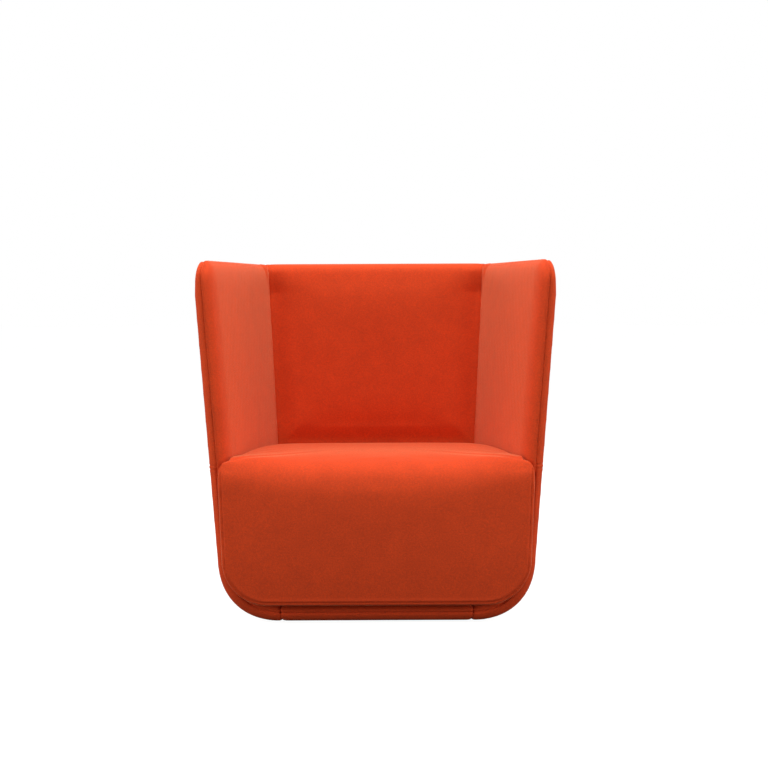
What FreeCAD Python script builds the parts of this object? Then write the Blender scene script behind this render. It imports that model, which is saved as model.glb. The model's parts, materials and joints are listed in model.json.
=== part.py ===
# High tub lounge chair: a bent-plywood shell padded and covered in felted wool, and an upholstered seat
# block bolted inside it. All lengths are in millimetres.
# Frame: origin on the floor under the middle of the chair, +Z up, the sitter faces -Y.
# Left and right are those of someone who stands in front and looks at the chair: left is -X.
import FreeCAD
import Part
import math
import os

Vector = FreeCAD.Vector

# Shell outline. The side walls and the back are flat planes that lean outwards as they rise.
HEIGHT = 885.0  # floor to the top of the wings and back
UNDERSIDE_Z = 6.0  # floor to the underside of the cover, set by the glides
SHELL_FRONT_Y = -310.0  # plane of the wings' front edges
SIDE_FOOT_X = 379.0  # half width of the side planes where they meet the underside and the front plane
SIDE_LEAN_DEG = 4.7  # outward lean of each side, seen from the front
WING_FLARE_DEG = 9.75  # how far each side opens towards the front, seen from above
BACK_FOOT_Y = 248.0  # outer back plane at the underside
BACK_RAKE_DEG = 6.0  # backward lean of the outer back
PAD_FOOT_Y = 162.5  # inner back face, carried down to the underside
PAD_RAKE_DEG = 7.5  # backward lean of the face that the sitter leans on
SIDE_WALL = 46.0  # thickness of a side, cover to cover
BASE_WALL = 45.0  # thickness of the bottom, cover to cover
BOTTOM_RADIUS = 160.0  # outer radius where the sides turn under
REAR_RADIUS = 100.0  # outer radius of the rear corners and the rear bottom edge
TOP_CORNER_RADIUS = 50.0  # front top corner of each wing, seen from the side
RIM_RADIUS = 20.0  # roll along the free edges of the shell
CREASE_RADIUS = 14.0  # inside corner between wing and back
CORNER_CUT = 120.0  # how far the hidden layers' lower rear corners are cut back from the sharp corner
DIVIDER_CORNER_CUT = 103.0  # the same for the surface between outer and inner covers
ROLL_DEPTH = 16.0  # depth of the wadded roll that the cover makes along the rim

# Layers, from the outside in.
COVER = 2.0  # wool cover with its backing
OUTER_FOAM = 10.0
PANEL = 12.0  # bent plywood
PANEL_SETBACK = 22.0  # plywood edge to the free edge of the shell
POST_FOAM = 20.0  # foam between the corner posts or ribs and the inner cover
SEAM_Z = 375.0  # horizontal seam round the outer cover, at seat height

# Plywood frame.
LEG = 70.0  # how far the side panels run in over the base board
POST_REACH = 30.0  # each corner post, measured both ways from the inside corner
POST_FOOT_Z = 170.0
BACK_PANEL_FOOT_Z = 120.0
WINDOW_HALF_WIDTH = 175.0
WINDOW_LOW_Z = 400.0
WINDOW_HIGH_Z = 810.0
WINDOW_RADIUS = 30.0
RIB_X = 105.0  # middle of each rear rib
RIB_THICKNESS = 18.0
RIB_TOP_Z = 360.0
BASE_BOARD_FRONT_GAP = 22.0
STRAP_COUNT = 4
STRAP_WIDTH = 60.0
STRAP_THICKNESS = 2.0
STRAP_OVERLAP = 28.0  # strap end beyond the window, where it is stapled

# Seat block.
SEAT_FRONT_Y = -340.0  # furthest point of the crowned front
SEAT_FRONT_CROWN = 5.0
SEAT_FRONT_TOP_Z = 397.0  # where the front roll meets the top
SEAT_TOP_Z = 401.0  # highest point of the crowned top
SEAT_REAR_TOP_Z = 384.0
SEAT_ROLL_RADIUS = 54.0
SEAT_GAP = 0.5  # seat block to shell
LAP_HALF_WIDTH_TOP = 384.0  # the front of the block laps over the shell's edge: half width at seat height
LAP_HALF_WIDTH_FOOT = 367.0  # and where its sides would meet its lower edge
LAP_BOTTOM_RADIUS = 110.0
LAP_TOP_RADIUS = 36.0
LAP_GAP = 0.4  # behind the lap, to the shell's front edge
SEAT_EDGE_RADIUS = 18.0
SEAT_CORNER_RADIUS = 26.0  # upright rear corners of the seat block
SEAT_EDGE_CUT = 26.0  # flat along the foam's top edges, in from the sharp edge
BOX_WALL = 18.0  # plywood boards of the seat box
BOX_FLOOR = 12.0
BOX_FRONT_FOAM = 32.0  # foam in front of the front board
BOX_SIDE_FOAM = 40.0  # foam outside the rails
BOX_REAR_FOAM = 25.0
SEAT_FOAM = 105.0  # foam over the webbing, at the front
SEAT_STRAP_WIDTH = 50.0
LONG_STRAPS = 5
CROSS_STRAPS = 3
INSULATOR = 3.0
BOXING_SEAM = 7.0  # seam of the strip round the front, in from the front's edge
BOXING_DEPTH = 12.0  # the strip's other seam, in front of the shell's edge
TOP_SEAM_DROP = 36.0  # seam along the seat's sides, below its top
RAIL_LOW_Z = 180.0  # lower edge of the seat box's rails
FRONT_BAND = 40.0  # depth of the band of cover along the base's front edge
UNDERSIDE_MARGIN = 55.0  # width of cover turned in under the chair

# Underside.
DUST_COVER = 0.8
DUST_MARGIN = 35.0
GLIDE_RADIUS = 19.0
GLIDE_EDGE = 2.0
GLIDE_FRONT = (185.0, -245.0)
GLIDE_REAR = (105.0, 100.0)
GLIDE_SCREW_RADIUS = 2.0
GLIDE_SCREW_HEAD_RADIUS = 4.0
GLIDE_SCREW_HEAD = 2.5
GLIDE_RECESS = 3.0
GLIDE_HOLE_GAP = 1.0
BOLT_RADIUS = 4.0
BOLT_HEAD_RADIUS = 8.0
BOLT_HEAD = 4.0
BOLT_FRONT = (120.0, -200.0)
BOLT_REAR = (70.0, 60.0)
SPACER_RADIUS = 9.0
T_NUT_RADIUS = 11.0
T_NUT_FLANGE = 1.5
HOLE_GAP = 0.2  # clearance of a screw, bolt or spacer in what it passes through
SCREW_RADIUS = 2.0
SCREW_HEAD_RADIUS = 4.0
SCREW_LENGTH = 20.0
RIB_SCREW_LENGTH = 40.0

ROD_SIDES = 12

REACH = 60.0  # how far cutting bodies run past the shell
HUGE = 2000.0

LEAN = math.tan(math.radians(SIDE_LEAN_DEG))
FLARE = math.tan(math.radians(WING_FLARE_DEG))
BACK_RAKE = math.tan(math.radians(BACK_RAKE_DEG))
PAD_RAKE = math.tan(math.radians(PAD_RAKE_DEG))
SIDE_NORMAL_SCALE = math.sqrt(1 + LEAN ** 2 + FLARE ** 2)
BACK_NORMAL_SCALE = math.sqrt(1 + BACK_RAKE ** 2)
PAD_NORMAL_SCALE = math.sqrt(1 + PAD_RAKE ** 2)
SIDE_NORMAL = Vector(1, FLARE, -LEAN).normalize()
BACK_NORMAL = Vector(0, 1, -BACK_RAKE).normalize()
ALONG_SIDE = Vector(-FLARE, 1, 0).normalize()
PAD_Z = UNDERSIDE_Z + BASE_WALL  # floor of the shell, under the seat block
ROD_ANGLES = [2 * math.pi * i / ROD_SIDES for i in range(ROD_SIDES)]


def side_x(y, z, inset=0.0):
    """Half width of the side plane at y and z, moved in by inset."""
    foot = SIDE_FOOT_X + LEAN * (z - UNDERSIDE_Z) - FLARE * (y - SHELL_FRONT_Y)
    return foot - inset * SIDE_NORMAL_SCALE


def back_y(z, inset=0.0):
    """Outer back plane at height z, moved forward by inset."""
    return BACK_FOOT_Y + BACK_RAKE * (z - UNDERSIDE_Z) - inset * BACK_NORMAL_SCALE


def pad_y(z, inset=0.0):
    """Inner back face at height z, moved back into the wall by inset."""
    return PAD_FOOT_Y + PAD_RAKE * (z - UNDERSIDE_Z) + inset * PAD_NORMAL_SCALE


def bottom_flat_x(y):
    """Half width of the flat underside at y, where the bottom radius starts."""
    half_angle = math.radians(45 - SIDE_LEAN_DEG / 2)
    return side_x(y, UNDERSIDE_Z) - BOTTOM_RADIUS * math.tan(half_angle)


def middle_of(edge):
    return edge.valueAt((edge.FirstParameter + edge.LastParameter) / 2)


def points_on(edge, steps=6):
    span = edge.LastParameter - edge.FirstParameter
    return [edge.valueAt(edge.FirstParameter + span * i / steps) for i in range(steps + 1)]


def mirrored(shape):
    return shape.mirror(Vector(0, 0, 0), Vector(1, 0, 0))


def half_space(point, normal):
    """A very large box on the side of the plane that normal points to."""
    box = Part.makeBox(2 * HUGE, 2 * HUGE, HUGE, Vector(-HUGE, -HUGE, 0))
    turn = FreeCAD.Rotation(Vector(0, 0, 1), normal)
    box.Placement = FreeCAD.Placement(point, turn)
    return box


def above(z):
    return half_space(Vector(0, 0, z), Vector(0, 0, 1))


def below(z):
    return half_space(Vector(0, 0, z), Vector(0, 0, -1))


def box_between(low, high):
    size = high - low
    return Part.makeBox(size.x, size.y, size.z, low)


def tapered_block(side_inset, rear, z_low, z_high, y_front):
    """A block between both side planes, from y_front to the rear plane, which is a function of height."""
    half = side_x(y_front, z_high, side_inset) + REACH
    block = box_between(Vector(-half, y_front, z_low), Vector(half, rear(z_high) + REACH, z_high))
    rear_slope = (rear(z_high) - rear(z_low)) / (z_high - z_low)
    block = block.cut(half_space(Vector(0, rear(z_low), z_low), Vector(0, 1, -rear_slope)))
    for sign in (-1, 1):
        point = Vector(sign * side_x(y_front, z_low, side_inset), y_front, z_low)
        block = block.cut(half_space(point, Vector(sign, FLARE, -LEAN)))
    return block


def round_lower_edges(block, rear, z_low, z_high, bottom_radius, rear_radius):
    """Rounds the two lower side edges, then the chain round the rear face."""
    lower = [
        e for e in block.Edges
        if e.BoundBox.ZMax < z_low + 1 and abs(middle_of(e).x) > 100 and e.BoundBox.YLength > 200
    ]
    block = block.makeFillet(bottom_radius, lower)
    chain = []
    for edge in block.Edges:
        on_rear = all(p.y > rear(p.z) - 1 for p in points_on(edge))
        if on_rear and edge.BoundBox.ZMin < z_high - 1:
            chain.append(edge)
    return block.makeFillet(rear_radius, chain)


def plain_rounded_block(side_inset, rear, z_low, z_high, y_front, bottom_radius, rear_radius):
    """A tapered block whose rounded edges meet in creases, not in blends: light to draw, for hidden layers."""
    block = tapered_block(side_inset, rear, z_low, z_high, y_front)
    lower = []
    upright = []
    rear_low = []
    for edge in block.Edges:
        middle = middle_of(edge)
        at_rear = abs(middle.y - rear(middle.z)) < 1
        if edge.BoundBox.ZMax < z_low + 1 and edge.BoundBox.YLength > 200:
            lower.append(edge)
        elif at_rear and edge.BoundBox.ZMax < z_low + 1:
            rear_low.append(edge)
        elif at_rear and edge.BoundBox.ZLength > 100:
            upright.append(edge)
    rounded = block.makeFillet(bottom_radius, lower)
    return rounded.common(block.makeFillet(rear_radius, upright)).common(block.makeFillet(rear_radius, rear_low))


def outer_layer(inset, corner_cut=CORNER_CUT):
    """The same as outer_body for hidden layers, with its two lower rear corners cut off flat."""
    def rear(z):
        return back_y(z, inset)
    z_low = UNDERSIDE_Z + inset
    z_high = HEIGHT + REACH
    body = plain_rounded_block(inset, rear, z_low, z_high, SHELL_FRONT_Y - REACH,
                               BOTTOM_RADIUS - inset, REAR_RADIUS - inset)
    right = outside_corner(UNDERSIDE_Z)
    for sign in (-1, 1):
        normal = Vector(sign, 1, -1).normalize()
        corner = Vector(sign * right.x, right.y, right.z) - normal * (corner_cut + inset)
        body = body.cut(half_space(corner, normal))
    return body


def outer_body(inset):
    """Everything inside the shell's outer surface, moved in by inset; it runs out past the rim."""
    def rear(z):
        return back_y(z, inset)
    z_low = UNDERSIDE_Z + inset
    z_high = HEIGHT + REACH
    block = tapered_block(inset, rear, z_low, z_high, SHELL_FRONT_Y - REACH)
    return round_lower_edges(block, rear, z_low, z_high, BOTTOM_RADIUS - inset, REAR_RADIUS - inset)


def cavity(inset):
    """The room inside the shell, grown into the walls by inset."""
    def rear(z):
        return pad_y(z, inset)
    z_low = PAD_Z - inset
    z_high = HEIGHT + 2 * REACH
    return plain_rounded_block(SIDE_WALL - inset, rear, z_low, z_high, SHELL_FRONT_Y - 2 * REACH,
                               BOTTOM_RADIUS - SIDE_WALL + inset, CREASE_RADIUS + inset)


def rim_prism(inset):
    """Side view of the shell between its front plane and its top, with the rounded front top corner."""
    front = SHELL_FRONT_Y + inset
    top = HEIGHT - inset
    radius = TOP_CORNER_RADIUS - inset
    bend = radius * (1 - math.sqrt(0.5))
    far = front + HUGE
    low = UNDERSIDE_Z - REACH
    edges = [
        Part.makeLine(Vector(0, front, low), Vector(0, front, top - radius)),
        Part.Arc(Vector(0, front, top - radius), Vector(0, front + bend, top - bend),
                 Vector(0, front + radius, top)).toShape(),
        Part.makeLine(Vector(0, front + radius, top), Vector(0, far, top)),
        Part.makeLine(Vector(0, far, top), Vector(0, far, low)),
        Part.makeLine(Vector(0, far, low), Vector(0, front, low)),
    ]
    face = Part.Face(Part.Wire(edges))
    face.translate(Vector(-HUGE / 2, 0, 0))
    return face.extrude(Vector(HUGE, 0, 0))


def on_rim(point, inset):
    """Whether a point lies on the front plane, the top plane or the rounded corner between them."""
    front = SHELL_FRONT_Y + inset
    top = HEIGHT - inset
    radius = TOP_CORNER_RADIUS - inset
    near = 0.05
    if point.z < top - radius + near:
        return abs(point.y - front) < near
    if point.y > front + radius - near:
        return abs(point.z - top) < near
    return abs(math.hypot(point.y - front - radius, point.z - top + radius) - radius) < near


def shell_body(inset):
    """The whole padded wall, moved in by inset from the cover's surface on every side, with its rolled rim."""
    body = outer_body(inset).common(rim_prism(inset)).cut(cavity(inset))
    rim = []
    for edge in body.Edges:
        points = points_on(edge)
        across = edge.BoundBox.YLength < 9 and edge.BoundBox.ZLength < 1 and points[3].z > 2 * BOTTOM_RADIUS
        if all(on_rim(p, inset) for p in points) and not across:
            rim.append(edge)
    return body.makeFillet(RIM_RADIUS - inset, rim)


def shell_core():
    """What the cover is pulled over. It stops short of the rim, where wadding fills the roll."""
    return outer_layer(COVER).common(rim_prism(ROLL_DEPTH)).cut(cavity(COVER))


def inside_corner(z):
    """The right-hand corner between wing and back, as if it were sharp."""
    y = pad_y(z)
    return Vector(side_x(y, z, SIDE_WALL), y, z)


def outside_corner(z):
    y = back_y(z)
    return Vector(side_x(y, z), y, z)


CORNER_LINE = (inside_corner(HEIGHT) - inside_corner(PAD_Z)).normalize()


def corner_side(offset, across, rearwards):
    """Half space on one side of a plane that holds the inside corner's line and the direction across."""
    normal = CORNER_LINE.cross(across)
    if (normal.dot(Vector(-1, 1, 0)) > 0) != rearwards:
        normal = normal * -1
    return half_space(inside_corner(PAD_Z) + offset, normal)


def behind_mitre():
    """Behind both mitres between sides and back, and behind the one between base and back."""
    diagonal = outside_corner(SEAM_Z) - inside_corner(SEAM_Z)
    right = corner_side(Vector(0, 0, 0), diagonal, True)
    foot = Vector(0, pad_y(PAD_Z), PAD_Z)
    outwards = Vector(0, back_y(UNDERSIDE_Z), UNDERSIDE_Z) - foot
    rear = half_space(foot, Vector(0, -outwards.z, outwards.y))
    return right.common(mirrored(right)).common(rear)


def beside_flat(inwards=0.0):
    """Right of the vertical plane where the flat bottom ends, moved inwards."""
    point = Vector(bottom_flat_x(SHELL_FRONT_Y) - inwards, SHELL_FRONT_Y, 0)
    return half_space(point, Vector(1, FLARE, 0))


def split_zones(body):
    """Cuts a shell-shaped body into left, right, base and back, which share the mitre faces."""
    rear_zone = behind_mitre()
    right_zone = beside_flat()
    back = body.common(rear_zone)
    rest = body.cut(rear_zone)
    right = rest.common(right_zone)
    left = rest.common(mirrored(right_zone))
    base = rest.cut(right_zone).cut(mirrored(right_zone))
    return {"left": left, "right": right, "base": base, "back": back}


def cylinder(x, y, z_low, z_high, radius):
    return Part.makeCylinder(radius, z_high - z_low, Vector(x, y, z_low))


def four_places(front, rear):
    """Two mirrored places at the front and two at the rear."""
    return [(sign * x, y) for x, y in (front, rear) for sign in (-1, 1)]


def rod(x, y, z_low, z_high, radius):
    """Small round stock, drawn with ROD_SIDES flat sides."""
    return rod_along(Vector(x, y, z_low), Vector(0, 0, 1), z_high - z_low, radius)


def rod_along(start, direction, length, radius):
    turn = FreeCAD.Rotation(Vector(0, 0, 1), direction)
    ring = [start + turn.multVec(Vector(radius * math.cos(a), radius * math.sin(a), 0)) for a in ROD_ANGLES]
    return Part.Face(Part.makePolygon(ring + ring[:1])).extrude(direction * length)


GLIDE_PLACES = four_places(GLIDE_FRONT, GLIDE_REAR)
BOLT_PLACES = four_places(BOLT_FRONT, BOLT_REAR)
BOARD_LOW_Z = UNDERSIDE_Z + COVER
BOARD_TOP_Z = UNDERSIDE_Z + COVER + OUTER_FOAM
LEG_TOP_Z = BOARD_TOP_Z + PANEL
BOX_LOW_Z = PAD_Z + SEAT_GAP + COVER
BOX_FLOOR_TOP_Z = BOX_LOW_Z + BOX_FLOOR


def screw(head, direction, length, radius=SCREW_RADIUS, head_radius=SCREW_HEAD_RADIUS):
    """A wood screw with a flat sunk head, from the middle of its head along direction."""
    sunk = rod_along(head, direction, head_radius - radius, head_radius)
    return sunk.fuse(rod_along(head, direction, length, radius)).removeSplitter()


def frame_layer():
    """The bent plywood layer all round the shell, set back from its rim."""
    depth = COVER + OUTER_FOAM
    return outer_layer(depth).cut(outer_layer(depth + PANEL)).common(rim_prism(PANEL_SETBACK))


def post_zone():
    """The right rear corner, POST_REACH each way from the inside corner."""
    from_side = corner_side(ALONG_SIDE * -POST_REACH, SIDE_NORMAL, True)
    from_back = corner_side(Vector(-POST_REACH, 0, 0), BACK_NORMAL, False)
    return from_side.common(from_back)


def side_panel(layer):
    """Right side: bent plywood, down the side, round the bottom radius and in over the base board."""
    front_of_post = corner_side(ALONG_SIDE * -POST_REACH, SIDE_NORMAL, False)
    rear_end = half_space(Vector(0, BACK_FOOT_Y - REAR_RADIUS, 0), Vector(0, -1, 0))
    piece = layer.common(beside_flat(LEG)).common(front_of_post)
    low = piece.common(below(POST_FOOT_Z)).common(rear_end)
    return piece.common(above(POST_FOOT_Z)).fuse(low).removeSplitter()


def corner_post():
    """Right rear corner: a hardwood post glued between the side panel and the back panel."""
    depth = COVER + OUTER_FOAM
    wall = outer_layer(depth).cut(cavity(POST_FOAM)).common(rim_prism(PANEL_SETBACK))
    return wall.common(post_zone()).common(above(POST_FOOT_Z))


def window():
    """The opening in the back panel that the webbing spans."""
    lines = Part.makePolygon([
        Vector(-WINDOW_HALF_WIDTH, 0, WINDOW_LOW_Z), Vector(WINDOW_HALF_WIDTH, 0, WINDOW_LOW_Z),
        Vector(WINDOW_HALF_WIDTH, 0, WINDOW_HIGH_Z), Vector(-WINDOW_HALF_WIDTH, 0, WINDOW_HIGH_Z),
        Vector(-WINDOW_HALF_WIDTH, 0, WINDOW_LOW_Z)])
    prism = Part.Face(lines).extrude(Vector(0, HUGE / 4, 0))
    upright = [e for e in prism.Edges if e.BoundBox.YLength > 100]
    return prism.makeFillet(WINDOW_RADIUS, upright)


def back_panel(layer):
    inside = corner_side(Vector(-POST_REACH, 0, 0), BACK_NORMAL, True)
    piece = layer.common(inside).common(mirrored(inside)).common(above(BACK_PANEL_FOOT_Z))
    return piece.common(behind_mitre()).cut(window())


def back_straps():
    """Elastic webbing across the window, on the front face of the back panel."""
    depth = COVER + OUTER_FOAM + PANEL
    room = WINDOW_HIGH_Z - WINDOW_LOW_Z
    pitch = room / STRAP_COUNT
    half = WINDOW_HALF_WIDTH + STRAP_OVERLAP
    turn = FreeCAD.Rotation(Vector(1, 0, 0), -BACK_RAKE_DEG)
    straps = []
    for i in range(STRAP_COUNT):
        z = WINDOW_LOW_Z + pitch * (i + 0.5)
        strap = Part.makeBox(2 * half, STRAP_THICKNESS, STRAP_WIDTH,
                             Vector(-half, -STRAP_THICKNESS, -STRAP_WIDTH / 2))
        strap.Placement = FreeCAD.Placement(Vector(0, back_y(z, depth), z), turn)
        straps.append(strap)
    return Part.makeCompound(straps)


def rib(back):
    """Right rear rib: stands on the base board and carries the back panel's lower edge."""
    depth = COVER + OUTER_FOAM
    wall = outer_layer(depth).cut(cavity(POST_FOAM))
    low = Vector(RIB_X - RIB_THICKNESS / 2, GLIDE_REAR[1] + GLIDE_RADIUS, BOARD_TOP_Z)
    high = Vector(RIB_X + RIB_THICKNESS / 2, HUGE / 4, RIB_TOP_Z)
    return wall.common(box_between(low, high)).cut(back)


def base_board():
    """Flat plywood board under the side panels' legs; glides and seat bolts fasten to it."""
    front = SHELL_FRONT_Y + BASE_BOARD_FRONT_GAP
    rear = BACK_FOOT_Y - REAR_RADIUS
    outline = [Vector(-bottom_flat_x(front), front, BOARD_LOW_Z), Vector(bottom_flat_x(front), front, BOARD_LOW_Z),
               Vector(bottom_flat_x(rear), rear, BOARD_LOW_Z), Vector(-bottom_flat_x(rear), rear, BOARD_LOW_Z)]
    board = Part.Face(Part.makePolygon(outline + outline[:1])).extrude(Vector(0, 0, BOARD_TOP_Z - BOARD_LOW_Z))
    for x, y in BOLT_PLACES:
        board = board.cut(rod(x, y, BOARD_LOW_Z - 1, BOARD_LOW_Z + BOLT_HEAD + HOLE_GAP,
                              BOLT_HEAD_RADIUS + HOLE_GAP))
        board = board.cut(rod(x, y, BOARD_LOW_Z, BOARD_TOP_Z + 1, BOLT_RADIUS + HOLE_GAP))
    return board


def frame_screws():
    """Screws through the side panels' legs into the base board, and through the back panel into the ribs."""
    screws = []
    for y in (-260.0, -150.0, -40.0, 70.0):
        x = bottom_flat_x(y) - LEG / 2
        for sign in (-1, 1):
            screws.append(screw(Vector(sign * x, y, LEG_TOP_Z), Vector(0, 0, -1), SCREW_LENGTH))
    for z in (160.0, 240.0, 320.0):
        y = back_y(z, COVER + OUTER_FOAM)
        for sign in (-1, 1):
            screws.append(screw(Vector(sign * RIB_X, y, z), BACK_NORMAL * -1, RIB_SCREW_LENGTH))
    return Part.makeCompound(screws)


def seat_side_prism(inset):
    """Side view of the seat block: crowned front, rolled front edge, crowned top and raked rear."""
    front = SEAT_FRONT_Y + inset
    edge = front + SEAT_FRONT_CROWN
    low = PAD_Z - REACH
    roll = SEAT_ROLL_RADIUS - inset
    roll_top = Vector(0, edge + roll, SEAT_FRONT_TOP_Z - inset)
    roll_foot = Vector(0, edge, SEAT_FRONT_TOP_Z - inset - roll)
    bend = roll * (1 - math.sqrt(0.5))
    roll_middle = Vector(0, edge + bend, roll_top.z - bend)
    rear_z = SEAT_REAR_TOP_Z - inset
    rear = Vector(0, pad_y(rear_z, -SEAT_GAP - inset), rear_z)
    rear_low = Vector(0, pad_y(low, -SEAT_GAP - inset), low)
    foot = Vector(0, edge, low)
    crown = Vector(0, (roll_top.y + rear.y) / 2, SEAT_TOP_Z - inset)
    belly = Vector(0, front, (foot.z + roll_foot.z) / 2)
    edges = [
        Part.Arc(foot, belly, roll_foot).toShape(),
        Part.Arc(roll_foot, roll_middle, roll_top).toShape(),
        Part.Arc(roll_top, crown, rear).toShape(),
        Part.makeLine(rear, rear_low),
        Part.makeLine(rear_low, foot),
    ]
    face = Part.Face(Part.Wire(edges))
    face.translate(Vector(-HUGE / 2, 0, 0))
    return face.extrude(Vector(HUGE, 0, 0))


def lap_outline(inset, y):
    """Front view of the seat block's front, as a face at y: wide, with round lower and upper corners."""
    low = PAD_Z + SEAT_GAP + inset
    high = SEAT_TOP_Z + 4 - inset
    top_x = LAP_HALF_WIDTH_TOP - inset
    foot_x = LAP_HALF_WIDTH_FOOT - inset
    corners = [Vector(-foot_x, y, low), Vector(foot_x, y, low), Vector(top_x, y, high), Vector(-top_x, y, high)]
    prism = Part.Face(Part.makePolygon(corners + corners[:1])).extrude(Vector(0, HUGE / 4, 0))
    along = [e for e in prism.Edges if e.BoundBox.YLength > 100]
    lower = [e for e in along if middle_of(e).z < low + 1]
    prism = prism.makeFillet(LAP_BOTTOM_RADIUS - inset, lower)
    along = [e for e in prism.Edges if e.BoundBox.YLength > 100]
    upper = [e for e in along if middle_of(e).z > high - 1]
    return prism.makeFillet(LAP_TOP_RADIUS - inset, upper)


def crowned_block(inset, edge_radius):
    """A plain block of the seat's width and side view, with its two top side edges rounded."""
    def rear(z):
        return back_y(z)
    block = tapered_block(SIDE_WALL + SEAT_GAP + inset, rear, PAD_Z - REACH, SEAT_TOP_Z + REACH, SEAT_FRONT_Y - REACH)
    block = block.common(seat_side_prism(inset))
    if edge_radius == 0:
        return block
    top_edges = [
        e for e in block.Edges
        if e.BoundBox.YLength > 300 and middle_of(e).z > SEAT_REAR_TOP_Z - 10
    ]
    return block.makeFillet(edge_radius, top_edges)


def seat_inner_block(inset, edge_radius):
    """The part of the seat block that lies inside the shell, up to its crowned top."""
    gap = SEAT_GAP + inset
    low = PAD_Z + gap

    def rear(z):
        return pad_y(z, -gap)
    inner = plain_rounded_block(SIDE_WALL + gap, rear, low, SEAT_TOP_Z + REACH, SEAT_FRONT_Y,
                                BOTTOM_RADIUS - SIDE_WALL - gap, SEAT_CORNER_RADIUS - inset)
    behind_lap = half_space(Vector(0, SHELL_FRONT_Y - LAP_GAP - inset - 1, 0), Vector(0, 1, 0))
    return inner.common(behind_lap).common(crowned_block(inset, edge_radius))


def seat_lap(inset):
    """The seat block's wide front, which laps over the shell's front edge."""
    before_shell = half_space(Vector(0, SHELL_FRONT_Y - LAP_GAP - inset, 0), Vector(0, -1, 0))
    return lap_outline(inset, SEAT_FRONT_Y - 1).common(before_shell).common(seat_side_prism(inset))


def seat_body():
    """The whole seat block, with rounded edges along the sides of its top."""
    return seat_lap(0).fuse(seat_inner_block(0, SEAT_EDGE_RADIUS)).removeSplitter()


def seat_core():
    """What the seat's cover is pulled over: its top edges are cut flat inside the cover's rounding."""
    inner = seat_inner_block(COVER, 0)
    y = SHELL_FRONT_Y
    side_corner = Vector(side_x(y, SEAT_TOP_Z, SIDE_WALL + SEAT_GAP), y, SEAT_TOP_Z)
    side_normal = (SIDE_NORMAL + Vector(0, 0, 1)).normalize()
    cut = half_space(side_corner - side_normal * SEAT_EDGE_CUT, side_normal)
    rear_corner = Vector(0, pad_y(SEAT_REAR_TOP_Z), SEAT_REAR_TOP_Z)
    rear_normal = Vector(0, 1, 1).normalize()
    rear_cut = half_space(rear_corner - rear_normal * SEAT_EDGE_CUT, rear_normal)
    inner = inner.cut([cut, mirrored(cut), rear_cut])
    return seat_lap(COVER).fuse(inner).removeSplitter()


def seat_box_block(inset):
    """The outer shape of the seat's plywood box, moved in by inset; it runs up past the box."""
    side = SIDE_WALL + SEAT_GAP + COVER + BOX_SIDE_FOAM + inset
    z_low = BOX_LOW_Z + inset

    def rear(z):
        return pad_y(z, -SEAT_GAP - COVER - BOX_REAR_FOAM - inset)
    y_front = SEAT_FRONT_Y + SEAT_FRONT_CROWN + COVER + BOX_FRONT_FOAM + inset
    block = tapered_block(side, rear, z_low, SEAT_TOP_Z, y_front)
    lower = [
        e for e in block.Edges
        if e.BoundBox.ZMax < z_low + 1 and abs(middle_of(e).x) > 100 and e.BoundBox.YLength > 200
    ]
    return block.makeFillet(BOTTOM_RADIUS - side, lower)


def under_seat_plane(depth):
    """Everything under a plane that runs parallel to the seat's top, depth below it."""
    front = Vector(0, SEAT_FRONT_Y + SEAT_ROLL_RADIUS, SEAT_FRONT_TOP_Z - depth)
    rear = Vector(0, pad_y(SEAT_REAR_TOP_Z), SEAT_REAR_TOP_Z - depth)
    along = rear - front
    return half_space(front, Vector(0, along.z, -along.y))


def seat_box_parts():
    """Front and rear boards, two rails and a floor, all cut from one tapered tub."""
    top = under_seat_plane(SEAT_FOAM)
    block = seat_box_block(0).common(top)
    front_y = SEAT_FRONT_Y + SEAT_FRONT_CROWN + COVER + BOX_FRONT_FOAM + BOX_WALL
    front = block.common(half_space(Vector(0, front_y, 0), Vector(0, -1, 0)))
    rear_plane = Vector(0, pad_y(BOX_LOW_Z, -SEAT_GAP - COVER - BOX_REAR_FOAM - BOX_WALL), BOX_LOW_Z)
    behind = half_space(rear_plane, Vector(0, 1, -PAD_RAKE))
    rear = block.common(behind)
    middle = block.cut(front).cut(behind)
    floor = middle.common(below(BOX_FLOOR_TOP_Z))
    walls = middle.cut(seat_box_block(BOX_WALL)).common(above(RAIL_LOW_Z))
    rails = sorted(walls.Solids, key=lambda s: s.CenterOfMass.x)
    for x, y in BOLT_PLACES:
        hole = rod(x, y, BOX_LOW_Z - 1, BOX_FLOOR_TOP_Z + 1, BOLT_RADIUS + HOLE_GAP)
        floor = floor.cut(hole)
    return {"seat_front_board": front, "seat_rear_board": rear, "seat_floor_board": floor,
            "seat_rail_left": rails[0], "seat_rail_right": rails[-1]}


def slanted_slab(depth, thickness):
    """A slab parallel to the seat's top whose upper face lies depth below it."""
    return under_seat_plane(depth).cut(under_seat_plane(depth + thickness))


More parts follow.
